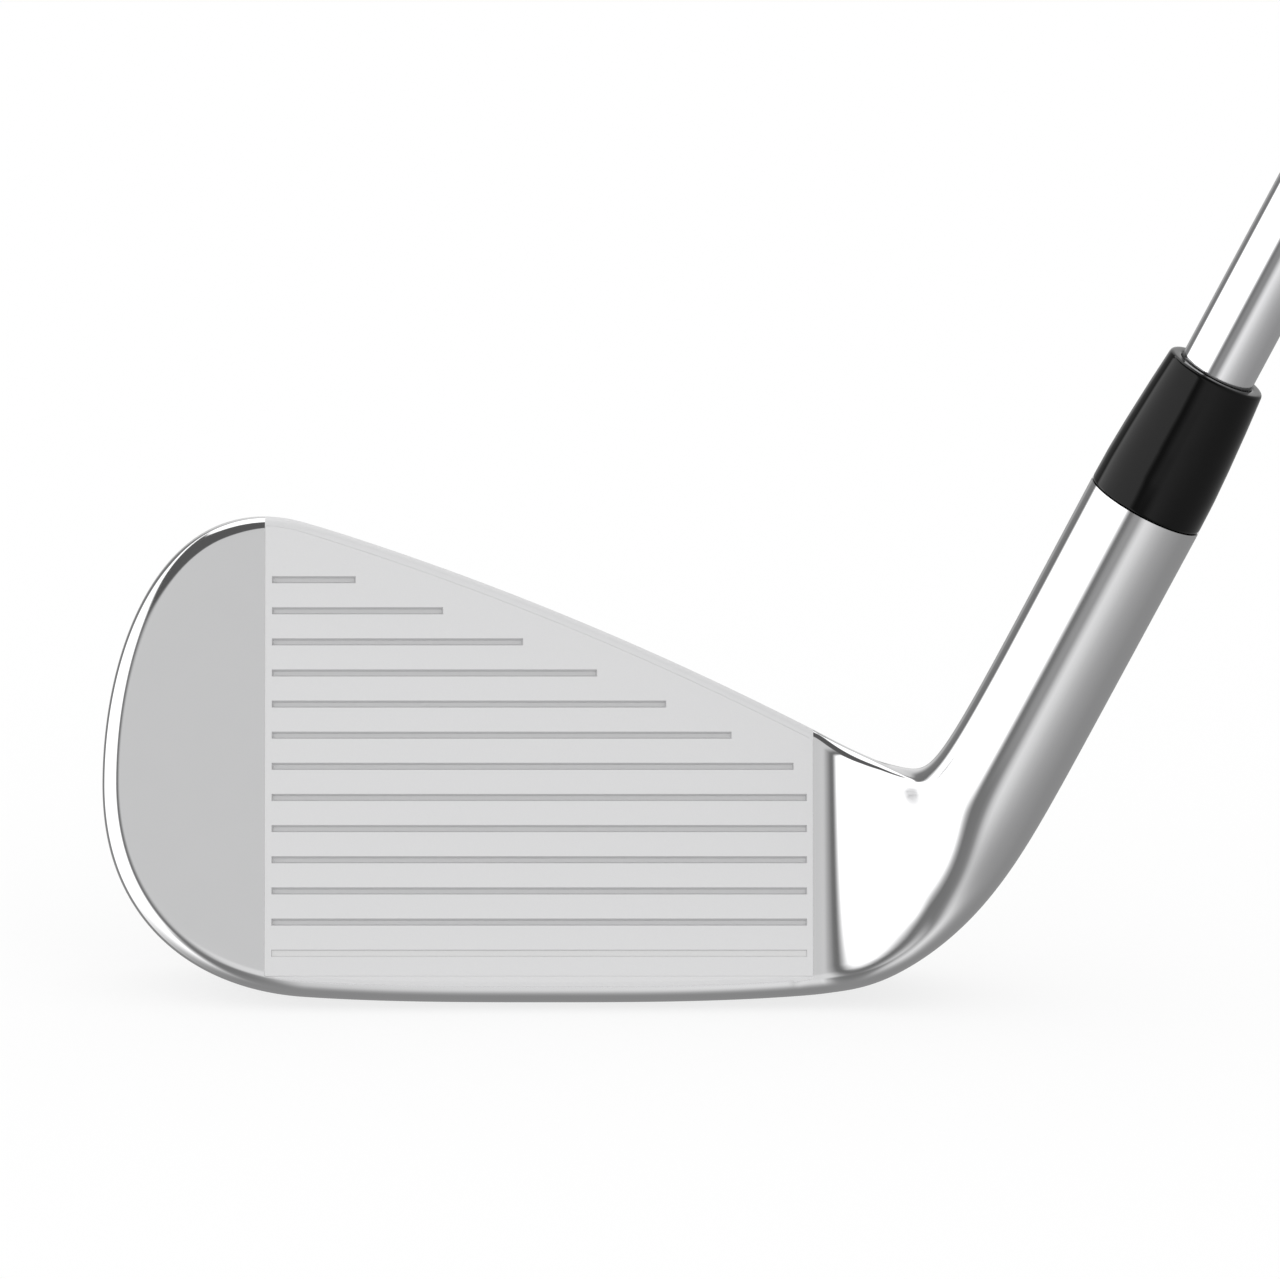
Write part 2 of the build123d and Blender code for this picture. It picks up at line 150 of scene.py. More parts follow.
COS_L, SIN_L = math.cos(LOFT), math.sin(LOFT)
TAN_L = SIN_L / COS_L
COS_LIE, SIN_LIE = math.cos(LIE), math.sin(LIE)
LEAD_Z = SOLE_CAMBER_R - math.sqrt((SOLE_CAMBER_R - LEAD_R) ** 2 - LEAD_Y ** 2)
# foot of the flat face: x, w up the face and d behind it are measured from there
FACE_Y = LEAD_Y - LEAD_R * COS_L
FACE_Z = LEAD_Z + LEAD_R * SIN_L
# where the fan of heel rings ends, square to the shaft axis
JOIN_T = (PIVOT_X - AXIS_X) * COS_LIE + PIVOT_Z * SIN_LIE


# ---- outline of the face: x, and w up the face ----
def smooth(u):
    u = min(1.0, max(0.0, u))
    return u * u * (3 - 2 * u)


def mix(a, b, k):
    return a + (b - a) * k


def topline(x):
    return TOP_W - TOP_SLOPE * x - TOP_BEND * x * x


def leading_edge(x):
    return -LEAD_R + LEAD_BEND * abs(x) ** 3


def bezier(p, u):
    v = 1 - u
    return tuple(
        v ** 3 * a + 3 * v * v * u * b + 3 * v * u * u * c + u ** 3 * d
        for a, b, c, d in zip(*p)
    )


def toe_curves():
    """Two cubic curves, from the topline and from the leading edge to the toe end."""
    top_slope = -TOP_SLOPE - 2 * TOP_BEND * TOE_JOIN_X
    low_slope = -3 * LEAD_BEND * TOE_JOIN_X ** 2
    top = (TOE_JOIN_X, topline(TOE_JOIN_X))
    low = (TOE_JOIN_X, leading_edge(TOE_JOIN_X))
    end = (TOE_X, TOE_W)
    handle = (top[0] - TOE_TOP_REACH, top[1] - top_slope * TOE_TOP_REACH)
    upper = (top, handle, (TOE_X, TOE_W + TOE_END_RISE), end)
    handle = (low[0] - TOE_LOW_REACH, low[1] - low_slope * TOE_LOW_REACH)
    lower = (low, handle, (TOE_X, TOE_W - TOE_END_DROP), end)
    return upper, lower


TOE_UPPER, TOE_LOWER = toe_curves()


HALVINGS = 40


def last_below(below, low=0.0, high=1.0):
    """The last point between low and high for which below is true, by halving."""
    for _ in range(HALVINGS):
        middle = (low + high) / 2
        if below(middle):
            low = middle
        else:
            high = middle
    return low


def solve_x(curve, x):
    """The second coordinate where a curve of rising x passes x."""
    return bezier(curve, last_below(lambda u: bezier(curve, u)[0] < x))[1]


def crotch_w(x):
    """The low curve between the topline and the hosel, as a height up the face."""
    drop = math.sqrt(max(0.0, CROTCH_R ** 2 - (x - PIVOT_X) ** 2))
    return (PIVOT_Z - drop - FACE_Z) / COS_L


def top_w(x):
    return max(topline(x), crotch_w(x)) if x > PIVOT_X - 2 else topline(x)


def low_w(x):
    """Height of the lower outline; the heel curve lifts its last stretch."""
    if x < HEEL_CURVE[0][0]:
        return leading_edge(x)
    z = solve_x(HEEL_CURVE, x)
    return (z + LEAD_R + LEAD_R * SIN_L - FACE_Z) / COS_L - LEAD_R


def front_radius(x, w):
    """Roll of the front edge: fine on the topline, fuller below, at the toe and the crotch."""
    high = smooth((w - 10) / 15)
    radius = LEAD_R - (LEAD_R - TOP_R) * smooth((x + 38) / 14) * high
    return radius + CROTCH_ROLL * high * smooth((x - 31.5) / 7)


def to_yz(w, d):
    return (FACE_Y + w * SIN_L + d * COS_L, FACE_Z + w * COS_L - d * SIN_L)


def world(x, w, d):
    y, z = to_yz(w, d)
    return (x * MM, y * MM, z * MM)


# ---- mesh helpers ----
WELD = 5e-7


def raw_mesh(name, verts, faces):
    """A piece from points in metres, with doubled points welded and faces turned outwards."""
    mesh = bpy.data.meshes.new(name)
    mesh.from_pydata([tuple(v) for v in verts], [], faces)
    bm = bmesh.new()
    bm.from_mesh(mesh)
    bmesh.ops.remove_doubles(bm, verts=bm.verts, dist=WELD)
    bmesh.ops.dissolve_degenerate(bm, edges=bm.edges, dist=WELD)
    bmesh.ops.recalc_face_normals(bm, faces=bm.faces)
    bm.to_mesh(mesh)
    bm.free()
    piece = bpy.data.objects.new(name, mesh)
    bpy.context.scene.collection.objects.link(piece)
    return piece


def bake_modifiers(piece):
    """Turns the piece's modifiers into plain mesh."""
    graph = bpy.context.evaluated_depsgraph_get()
    made = bpy.data.meshes.new_from_object(piece.evaluated_get(graph))
    piece.modifiers.clear()
    piece.data = made


def carve(piece, cutter):
    """Cuts one piece out of another, and takes the cutter away."""
    cut = piece.modifiers.new("cut", "BOOLEAN")
    cut.operation = "DIFFERENCE"
    cut.solver = "EXACT"
    cut.object = cutter
    bake_modifiers(piece)
    bpy.data.objects.remove(cutter)


def shade(piece, angle):
    for polygon in piece.data.polygons:
        polygon.use_smooth = True
    piece.data.set_sharp_from_angle(angle=math.radians(angle))


def dress(piece, material, node, angle=35):
    """Finishes a piece: shading, material, slot and the CAD node it stands for."""
    shade(piece, angle)
    piece.data.materials.clear()
    piece.data.materials.append(material)
    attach(piece, "root")
    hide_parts(node)


def grid_faces(rows, columns):
    """Quads between rows of points; each row closes on itself."""
    faces = []
    for i in range(rows - 1):
        for j in range(columns):
            k = (j + 1) % columns
            faces.append((i * columns + j, i * columns + k, (i + 1) * columns + k,
                          (i + 1) * columns + j))
    return faces


def prism(name, outline, near, far):
    """A slab square to the face with an (x, w) outline, between two depths."""
    count = len(outline)
    verts = [world(x, w, near) for x, w in outline] + [world(x, w, far) for x, w in outline]
    faces = [tuple(range(count)), tuple(range(2 * count - 1, count - 1, -1))]
    faces += [(k, (k + 1) % count, count + (k + 1) % count, count + k) for k in range(count)]
    return raw_mesh(name, verts, faces)


def beside_axis(side, out, t):
    """A point in millimetres, t along the shaft axis and off it towards the heel and the back."""
    return (AXIS_X + t * COS_LIE + side * SIN_LIE, AXIS_Y + out, t * SIN_LIE - side * COS_LIE)


def on_axis(radius, turn, t):
    """A point in metres, at a radius and a turn about the shaft axis."""
    place = beside_axis(radius * math.cos(turn), radius * math.sin(turn), t)
    return tuple(v * MM for v in place)


def lathe(name, profile, segments):
    """A turned solid from (radius, t) points, about the shaft axis."""
    rows = [*profile, profile[0]]
    verts = [on_axis(r, 2 * math.pi * k / segments, t) for r, t in rows for k in range(segments)]
    return raw_mesh(name, verts, grid_faces(len(rows), segments))


def rounded(profile, radius, steps=4):
    """Rounds every corner of a closed (radius, t) profile."""
    result = []
    count = len(profile)
    for k, here in enumerate(profile):
        before, after = profile[k - 1], profile[(k + 1) % count]
        ends = []
        for other in (before, after):
            gap = math.dist(here, other)
            reach = min(radius, gap * 0.45)
            ends.append(tuple(h + (o - h) * reach / gap for h, o in zip(here, other)))
        for n in range(steps + 1):
            u = n / steps
            v = 1 - u
            result.append(tuple(v * v * a + 2 * v * u * h + u * u * b
                                for a, h, b in zip(ends[0], here, ends[1])))
    return result


# ---- the head's surface ----
def edge_normal(curve, x, up):
    """Outward normal of the topline (up) or the lower outline at x."""
    step = 1e-3
    slope = (curve(x + step) - curve(x - step)) / (2 * step)
    size = math.hypot(1, slope)
    return (-slope / size, 1 / size) if up else (slope / size, -1 / size)


BLADE_STEPS = 60
TOE_STEPS = 96


def toe_point(curve, u, sign):
    """A point of a toe curve with its outward normal."""
    a, b = bezier(curve, max(0.0, u - 1e-4)), bezier(curve, min(1.0, u + 1e-4))
    along, up = b[0] - a[0], b[1] - a[1]
    size = math.hypot(along, up)
    return (*bezier(curve, u), sign * up / size, -sign * along / size)


def stations():
    """Pairs of outline points, topline and sole edge, from the heel to the toe end."""
    pairs = [((x, top_w(x), *edge_normal(topline, x, True)),
              (x, low_w(x), *edge_normal(low_w, x, False)))
             for x in np.linspace(HEEL_START_X, TOE_JOIN_X, BLADE_STEPS)]
    for k in range(1, TOE_STEPS + 1):
        u = k / TOE_STEPS
        pairs.append((toe_point(TOE_UPPER, u, 1), toe_point(TOE_LOWER, u, -1)))
    return pairs


def edge_shape(x, w, top):
    """Share of the sole's depth, depth, and lift of the back edge, at an outline point."""
    share = smooth((34 - w) / 36)
    if top:
        share *= smooth((-x - 20) / 15)
    depth = BLADE_THICK + (SOLE_DEPTH - BLADE_THICK) * share
    return share, depth, (depth - front_radius(x, w)) * TAN_L * share + 1.6 * share


# points along each run of a ring, and the oval's angle at each run's end
ROLL = 8
FLAT = 40
SOLE = 12
BACK = 40
RUN_ENDS = (0, ROLL, ROLL + FLAT, 2 * ROLL + FLAT, 2 * ROLL + FLAT + SOLE,
            3 * ROLL + FLAT + SOLE, 3 * ROLL + FLAT + SOLE + BACK,
            4 * ROLL + FLAT + SOLE + BACK, 4 * ROLL + FLAT + 2 * SOLE + BACK)
RUN_TURNS = (24, 40, 140, 168, 196, 214, 320, 340, 384)


def roll_arc(point, radius, shift, face_d, into, order):
    """A quarter round at an outline point; into is +1 at the front, -1 at the back."""
    x, w, nx, nw = point
    arc = []
    for k in order:
        a = math.radians(90 * k / ROLL)
        inset = radius * (1 - math.cos(a))
        arc.append((x - nx * inset, w + shift - nw * inset,
                    face_d + into * radius * (1 - math.sin(a))))
    return arc


def between(a, b, steps):
    return [tuple(mix(p, q, k / steps) for p, q in zip(a, b)) for k in range(1, steps)]


def head_ring(top, low):
    """One closed ring of (x, w, d) round the blade, through a pair of outline points."""
    x, w = low[:2]
    lead_r = front_radius(x, w)
    share, depth, lift = edge_shape(x, w, False)
    ring = roll_arc(top, front_radius(*top[:2]), 0.0, 0.0, 1, range(ROLL + 1))
    lower = roll_arc(low, lead_r, 0.0, 0.0, 1, range(ROLL, -1, -1))
    ring += between(ring[-1], lower[0], FLAT) + lower
    trailing = roll_arc(low, BACK_R, lift, depth, -1, range(ROLL + 1))
    for k, point in enumerate(between(ring[-1], trailing[0], SOLE), start=1):
        bow = SOLE_BOW * share * 4 * k / SOLE * (1 - k / SOLE) * abs(low[3])
        ring.append((point[0] + low[2] * bow, point[1] + low[3] * bow, point[2]))
    ring += trailing
    _, crest, rise = edge_shape(*top[:2], True)
    crown = roll_arc(top, BACK_R, rise, crest, -1, range(ROLL, -1, -1))
    foot, head = trailing[-1], crown[0]

    def muscle(at_w):
        return BLADE_THICK + (depth - BLADE_THICK) * (
            1 - smooth((at_w - w - lift) / MUSCLE_RISE))

    miss_low, miss_top = foot[2] - muscle(foot[1]), head[2] - muscle(head[1])
    for k, point in enumerate(between(foot, head, BACK), start=1):
        ring.append((point[0], point[1],
                     muscle(point[1]) + mix(miss_low, miss_top, k / BACK)))
    ring += crown
    return ring + between(crown[-1], ring[0], SOLE)


def heel_cut(x):
    """The ring at x, as (x, y, q below the pivot); its normals turn upright by the pivot."""
    turn = smooth((x - HEEL_START_X) / (PIVOT_X - HEEL_START_X))
    ends = []
    for up, curve in ((True, topline), (False, low_w)):
        nx, nw = edge_normal(curve, HEEL_START_X, up)
        nx, nw = mix(nx, 0.0, turn), mix(nw, 1.0 if up else -1.0, turn)
        size = math.hypot(nx, nw)
        ends.append((x, top_w(x) if up else low_w(x), nx / size, nw / size))
    cut = []
    for px, w, d in head_ring(*ends):
        y, z = to_yz(w, d)
        start = BULGE_START_X + BULGE_LEAN * smooth(w / BULGE_LEAN_W)
        bulge = BULGE * smooth((x - start) / BULGE_RUN)
        cut.append((px - x, y - bulge * (1 - smooth(d / BULGE_DEPTH)), PIVOT_Z - z))
    return cut


def ring_angles(points):
    """An angle for each point: an even climb with length round the ring, fixed at run ends."""
    closed = np.array(points + [points[0]])
    steps = np.linalg.norm(np.diff(closed, axis=0), axis=1)
    length = np.concatenate([[0.0], np.cumsum(steps)])
    knots = length[list(RUN_ENDS)]
    rates = np.diff(RUN_TURNS) / np.diff(knots)
    before = np.roll(rates, 1)
    slopes = 2 * before * rates / (before + rates)
    slopes = np.append(slopes, slopes[0])
    angles = []
    for k, (first, last) in enumerate(zip(RUN_ENDS, RUN_ENDS[1:])):
        size = knots[k + 1] - knots[k]
        u = (length[first:last] - knots[k]) / size
        bend = u * (1 - u) * size
        climb = RUN_TURNS[k] + (RUN_TURNS[k + 1] - RUN_TURNS[k]) * u * u * (3 - 2 * u)
        angles += list(climb + bend * ((1 - u) * slopes[k] - u * slopes[k + 1]))
    return angles


def rounded_cut(cut, q_in, q_out, run):
    """Blends a blade cut towards an oval from q_in to q_out; run is how far round the heel."""
    middle, half = (q_in + q_out) / 2, (q_out - q_in) / 2
    share = smooth((run - BLEND_START_X) / BLEND_RUN)
    result = []
    for (px, y, q), turn in zip(cut, ring_angles([p[1:] for p in cut])):
        a = math.radians(turn)
        result.append((px * (1 - share), mix(y, AXIS_Y - HOSEL_R * math.sin(a), share),
                       mix(q, middle - half * math.cos(a), share)))
    return result


def heel_low_q(angle):
    """Distance from the pivot to the heel's outer curve along a direction of the fan."""
    def before(u):
        x, z = bezier(HEEL_CURVE, u)
        return math.atan2(x - PIVOT_X, PIVOT_Z - z) < angle

    return math.dist(bezier(HEEL_CURVE, last_below(before)), (PIVOT_X, PIVOT_Z))


HOSEL_RINGS = 16
FAN_RINGS = 16
HEEL_RINGS = 15
EASE_FIRST = 6                # rings left alone at the hosel's top, and at the face
EASE_LAST = 2
EASE_PASSES = 60
EASE_NEAR_FACE = 0.12         # share of the easing kept beside the face
ROUND_PASSES = 60
ROUND_FIRST = 10              # easing round the ring fades in from here, over ROUND_FADE rings
ROUND_FADE = 8
ROUND_STEPS = (0.5, -0.52)
CROTCH_LIFT = 2.2
CROTCH_LIFT_START_X = 35.5
REFINE = 3
FULL_RUN = 1000.0             # a run by which any cut is fully round


def raised(cut, lift):
    """Lifts the upper part of a cut, to fill the crotch."""
    low, high = min(p[2] for p in cut), max(p[2] for p in cut)
    return [(px, y, q - lift * ((high - q) / (high - low)) ** 2) for px, y, q in cut]


def hosel_foot():
    """The round cut at the hosel's foot, as (x, y, q below the pivot)."""
    return rounded_cut(heel_cut(PIVOT_X), CROTCH_R, CROTCH_R + 2 * HOSEL_R, FULL_RUN)


def hosel_rings():
    """Rings square to the shaft axis, from the hosel's top to its foot."""
    centre = CROTCH_R + HOSEL_R
    foot = hosel_foot()
    rings = []
    for k in range(HOSEL_RINGS):
        rise = 1 - k / HOSEL_RINGS
        along = (HOSEL_TOP - JOIN_T) * rise
        growth = mix(1.0, HOSEL_TOP_R / HOSEL_R, rise)
        rings.append([(
            PIVOT_X + along * COS_LIE + (centre + (q - centre) * growth) * SIN_LIE,
            AXIS_Y + (y - AXIS_Y) * growth,
            PIVOT_Z + along * SIN_LIE - (centre + (q - centre) * growth) * COS_LIE,
        ) for _, y, q in foot])
    return rings


def fan_rings():
    """Rings turning round the crotch, from the hosel's foot to upright."""
    base = heel_cut(PIVOT_X)
    low, high = min(p[2] for p in base), max(p[2] for p in base)
    miss_foot = high - heel_low_q(0.0)
    miss_hosel = CROTCH_R + 2 * HOSEL_R - heel_low_q(LIE)
    rings = []
    for k in range(FAN_RINGS, 0, -1):
        turn = LIE * k / FAN_RINGS
        reach = smooth(k / FAN_RINGS)
        lift = CROTCH_LIFT * (1 - reach)
        q_in = CROTCH_R + (low - CROTCH_R) * (1 - k / FAN_RINGS)
        q_out = heel_low_q(turn) + mix(miss_foot, miss_hosel, reach)
        stretch = (q_out - q_in) / (high - low)
        cut = raised([(px, y, q_in + (q - low) * stretch) for px, y, q in base], lift)
        run = PIVOT_X + FAN_RATE * turn
        rings.append([(PIVOT_X + q * math.sin(turn), y, PIVOT_Z - q * math.cos(turn))
                      for _, y, q in rounded_cut(cut, q_in - lift, q_out, run)])
    return rings


def blade_end_rings():
    """Upright rings, from under the pivot to the end of the face."""
    rings = []
    for x in np.linspace(PIVOT_X, HEEL_START_X, HEEL_RINGS)[:-1]:
        climb = (x - CROTCH_LIFT_START_X) / (PIVOT_X - CROTCH_LIFT_START_X)
        cut = raised(heel_cut(x), CROTCH_LIFT * smooth(climb))
        depths = [p[2] for p in cut]
        rings.append([(x + px, y, PIVOT_Z - q)
                      for px, y, q in rounded_cut(cut, min(depths), max(depths), x)])
    return rings


def eased(rings):
    """Evens the flow from ring to ring between the hosel and the end of the face."""
    first, last = EASE_FIRST, len(rings) - EASE_LAST
    inner = np.arange(first, last)
    near_face = np.clip((inner - HOSEL_RINGS - FAN_RINGS) / (HEEL_RINGS - 4), 0, 1)
    near_face = near_face.reshape(-1, 1, 1)
    pull = 1 - (1 - EASE_NEAR_FACE) * near_face
    for _ in range(EASE_PASSES):
        even = (rings[first - 1:last - 1] + 2 * rings[first:last] + rings[first + 1:last + 1]) / 4
        rings[first:last] += pull * (even - rings[first:last])
    # round the ring too, in and out again so that it keeps its size
    across = np.clip((inner - ROUND_FIRST) / ROUND_FADE, 0, 1).reshape(-1, 1, 1)
    across = across * pull * (1 - near_face)
    for _ in range(ROUND_PASSES):
        for step in ROUND_STEPS:
            zone = rings[first:last]
            even = (np.roll(zone, 1, axis=1) + np.roll(zone, -1, axis=1)) / 2
            rings[first:last] = zone + across * step * (even - zone)
    return rings


def through(p, q, r, s, u):
    """A value between q and r on a smooth curve through p, q, r and s."""
    return 0.5 * (2 * q + (r - p) * u + (2 * p - 5 * q + 4 * r - s) * u * u
                  + (3 * q - p - 3 * r + s) * u ** 3)


def refined(rings):
    """Adds rings between the given ones, on smooth curves through them."""
    result = []
    last = len(rings) - 1
    for k in range(last):
        a, b, c, d = rings[max(k - 1, 0)], rings[k], rings[k + 1], rings[min(k + 2, last)]
        result += [through(a, b, c, d, n / REFINE) for n in range(REFINE)]
    return result + [rings[last]]


def bore_ring(radius, t):
    """A ring in step with the hosel's own, on the shaft axis."""
    scale = radius / HOSEL_R
    return [beside_axis((q - CROTCH_R - HOSEL_R) * scale, (y - AXIS_Y) * scale, t)
            for _, y, q in hosel_foot()]


def make_head_shell():
    """The head's closed skin, from the bore's floor over the hosel to the toe."""
    heel = np.array(hosel_rings() + fan_rings() + blade_end_rings())
    rings = [bore_ring(BORE_R, BORE_FLOOR), bore_ring(BORE_R, HOSEL_TOP), *refined(eased(heel))]
    verts = [(x * MM, y * MM, z * MM) for ring in rings for x, y, z in ring]
    for top, low in stations():
        verts += [world(*p) for p in head_ring(top, low)]
    columns = len(rings[0])
    faces = grid_faces(len(verts) // columns, columns)
    faces.append(tuple(range(columns)))
    return raw_mesh("head_shell", verts, faces)


def toe_top(x):
    """Height of the upper toe curve at x."""
    return bezier(TOE_UPPER, last_below(lambda u: bezier(TOE_UPPER, u)[0] > x))[1]


def plate_outline(gap):
    """The face plate's outline, drawn in by gap."""
    xs = np.linspace(PLATE_TOE_X + gap, PLATE_HEEL_X - gap, 60)
    tops = [topline(x) if x > TOE_JOIN_X else toe_top(x) for x in xs]
    low = PLATE_LOW_W + gap
    crown = [(x, w - PLATE_TOP_GAP - gap) for x, w in zip(xs, tops)]
    return [(xs[0], low), *crown, (xs[-1], low)]


def line_height(index):
    """Height of a score line's centre up the face."""
    return LINE_LOW_W + LINE_PITCH * index


def line_heel_end(w):
    """Heel end of the score line at height w, kept a margin inside the topline."""
    end = last_below(lambda x: topline(x) - (LINE_MARGIN + LINE_MARGIN_RATE * x) > w,
                     LINE_TOE_X, PLATE_HEEL_X)
    return min(end, LINE_HEEL_X)


WALL_LEAN = 0.2


def groove_frame(index, inset, d):
    """Corners of a score line's outline at a depth, drawn in by inset."""
    w = line_height(index)
    x0, x1 = LINE_TOE_X + inset, line_heel_end(w) - inset
    half = LINE_WIDTH / 2 - inset
    return [world(x0, w - half, d), world(x1, w - half, d),
            world(x1, w + half, d), world(x0, w + half, d)]


def groove_cutter():
    """All the score lines as one cutter."""
    verts, faces = [], []
    for index in range(LINE_COUNT):
        base = len(verts)
        # the cutter's walls lean as they go in, and carry on past the face
        verts += groove_frame(index, -WALL_LEAN, -LINE_DEPTH)
        verts += groove_frame(index, WALL_LEAN, LINE_DEPTH)
        faces += [(base, base + 1, base + 2, base + 3),
                  (base + 7, base + 6, base + 5, base + 4)]
        faces += [(base + k, base + 4 + k, base + 4 + (k + 1) % 4, base + (k + 1) % 4)
                  for k in range(4)]
    return raw_mesh("groove_cutter", verts, faces)


SEAM = 0.015


def make_face_insert():
    """The plate, a hair smaller than its recess, with its score lines."""
    plate = prism("face_insert", plate_outline(SEAM), 0.0, FACE_THICK - SEAM)
    carve(plate, groove_cutter())
    return plate


def pocket_outline(inset):
    """The cavity's outline in the face frame, drawn in by inset."""
    side = POCKET_RIM + inset
    low = POCKET_LOW_W + inset
    heel = POCKET_HEEL_X - inset
    points = [(x, topline(x) - side * 1.07) for x in np.linspace(heel, POCKET_TOP_END_X, 30)]
    corners = [bezier(TOE_UPPER, u) for u in (0.45, 0.7, 0.9)]
    corners = [(x + side * (0.35 + 0.65 * k / 2), w - side * (0.95 - 0.4 * k))
               for k, (x, w) in enumerate(corners)]
    foot = (TOE_X + side + 3.5, low)
    knots = [points[-2], points[-1], *corners, foot, (foot[0] + 1.0, low - 4.0)]
    for a, b, c, d in zip(knots, knots[1:], knots[2:], knots[3:]):
        for n in range(1, 9):
            points.append(tuple(through(*p, n / 8) for p in zip(a, b, c, d)))
    return points + [(heel, low)]


# ---- materials ----
class Net:
    """A short way to write a node tree."""

    def __init__(self, tree):
        self.tree = tree

    def node(self, kind, **inputs):
        made = self.tree.nodes.new(kind)
        for key, value in inputs.items():
            self.put(made.inputs[key.replace("_", " ")], value)
        return made

    def put(self, socket, value):
        if isinstance(value, bpy.types.NodeSocket):
            self.tree.links.new(value, socket)
        elif value is not None:
            socket.default_value = value

    def math(self, operation, *values):
        made = self.tree.nodes.new("ShaderNodeMath")
        made.operation = operation
        for socket, value in zip(made.inputs, values):
            self.put(socket, value)
        return made.outputs[0]

    def ramp(self, value, stops):
        """Straight lines between (position, level) stops."""
        made = self.tree.nodes.new("ShaderNodeFloatCurve")
        curve = made.mapping.curves[0]
        while len(curve.points) < len(stops):
            curve.points.new(0.5, 0.5)
        for point, (place, level) in zip(curve.points, stops):
            point.location = (place, level)
            point.handle_type = "VECTOR"
        made.mapping.use_clip = False
        made.mapping.update()
        self.put(made.inputs["Value"], value)
        return made.outputs[0]

    def step(self, value, start, end):
        """0 before start, 1 after end, eased between."""
        made = self.tree.nodes.new("ShaderNodeMapRange")
        made.interpolation_type = "SMOOTHSTEP"
        self.put(made.inputs["Value"], value)
        made.inputs["From Min"].default_value = start
        made.inputs["From Max"].default_value = end
        return made.outputs[0]

    def blend(self, factor, a, b):
        made = self.tree.nodes.new("ShaderNodeMix")
        made.data_type = "FLOAT"
        self.put(made.inputs["Factor"], factor)
        self.put(made.inputs["A"], a)
        self.put(made.inputs["B"], b)
        return made.outputs[0]

    def tint(self, factor, a, b):
        made = self.tree.nodes.new("ShaderNodeMix")
        made.data_type = "RGBA"
        self.put(made.inputs[0], factor)
        self.put(made.inputs[6], (*a, 1) if isinstance(a, tuple) else a)
        self.put(made.inputs[7], (*b, 1) if isinstance(b, tuple) else b)
        return made.outputs[2]

    def place(self):
        return self.node("ShaderNodeTexCoord").outputs["Object"]

    def noise(self, scale, detail=3.0, stretch=None):
        place = self.place()
        if stretch:
            mapping = self.node("ShaderNodeMapping", Vector=place)
            mapping.inputs["Scale"].default_value = stretch
            place = mapping.outputs[0]
        return self.node("ShaderNodeTexNoise", Vector=place, Scale=scale,
                         Detail=detail).outputs["Fac"]

    def bump(self, height, strength, distance):
        return self.node("ShaderNodeBump", Height=height, Strength=strength,
                         Distance=distance).outputs[0]


def new_material(name):
    material = bpy.data.materials.new(name)
    material.use_nodes = True
    net = Net(material.node_tree)
    return material, net, material.node_tree.nodes["Principled BSDF"]


def metal(name, tint, roughness, wear=0.02, grain=400.0, stretch=None, lift=0.0):
    """Metal with fine handling haze; stretch draws the grain out into brushing."""
    material, net, shader = new_material(name)
    haze = net.noise(grain, 4.0, stretch)
    dark = tuple(c * 0.97 for c in tint)
    net.put(shader.inputs["Base Color"], net.tint(haze, dark, tint))
    shader.inputs["Metallic"].default_value = 1.0
    net.put(shader.inputs["Roughness"], net.blend(haze, roughness, roughness + wear))
    if lift:
        net.put(shader.inputs["Normal"], net.bump(haze, 0.3, lift))
    return material


def depth_behind_face(net):
    _, y, z = net.node("ShaderNodeSeparateXYZ", Vector=net.place()).outputs[:3]
    return net.math("SUBTRACT",
                    net.math("MULTIPLY", net.math("SUBTRACT", y, FACE_Y * MM), COS_L),
                    net.math("MULTIPLY", net.math("SUBTRACT", z, FACE_Z * MM), SIN_L))


def head_material():
    """Polished chrome, with a blasted zone between the plate's two ends."""
    material, net, shader = new_material("head_chrome")
    x, _, z = net.node("ShaderNodeSeparateXYZ", Vector=net.place()).outputs[:3]
    depth = depth_behind_face(net)
    side = net.math("MULTIPLY", net.step(x, (PLATE_TOE_X - 0.05) * MM, PLATE_TOE_X * MM),
                    net.step(x, (PLATE_HEEL_X + 0.05) * MM, PLATE_HEEL_X * MM))
    high = net.step(z, 10 * MM, 12 * MM)
    reach = net.blend(high, LEAD_BLAST * MM, TOP_BLAST * MM)
    front = net.step(net.math("SUBTRACT", depth, reach), 0.06 * MM, 0.0)
    zone = net.math("MULTIPLY", side, front)
    edge = net.step(depth, 0.002 * MM, 0.02 * MM)
    haze = net.noise(220.0, 4.0)
    grit = net.noise(9000.0, 2.0)
    polished = net.tint(haze, (0.585, 0.585, 0.59), (0.6, 0.6, 0.605))
    blasted = net.tint(edge, net.tint(grit, BLAST_DARK, BLAST_LIGHT), BLAST_EDGE)
    net.put(shader.inputs["Base Color"], net.tint(zone, polished, blasted))
    net.put(shader.inputs["Metallic"], net.blend(zone, 1.0, BLAST_METAL))
    net.put(shader.inputs["Roughness"],
            net.blend(zone, net.blend(haze, 0.07, 0.09),
                      net.blend(edge, BLAST_ROUGH, BLAST_EDGE_ROUGH)))
    net.put(shader.inputs["Normal"],
            net.bump(net.math("MULTIPLY", grit, zone), 0.12, 0.02 * MM))
    return material


LEAD_BLAST = 0.08
TOP_BLAST = 1.2
# blasting scatters light almost like a matt grey paint
BLAST_METAL = 0.1
BLAST_DARK = (0.65, 0.65, 0.655)
BLAST_LIGHT = (0.69, 0.69, 0.695)
BLAST_ROUGH = 0.32
BLAST_EDGE = (0.65, 0.65, 0.655)
BLAST_EDGE_ROUGH = 0.6
# painted shade: the score lines' walls and floors are coloured darker than the blasted face,
# standing in for the shade inside the grooves
GROOVE_WALL_PAINTED_SHADE = (0.51, 0.51, 0.515)
GROOVE_FLOOR_PAINTED_SHADE = (0.58, 0.58, 0.585)
GROOVE_ROUGH = 0.6


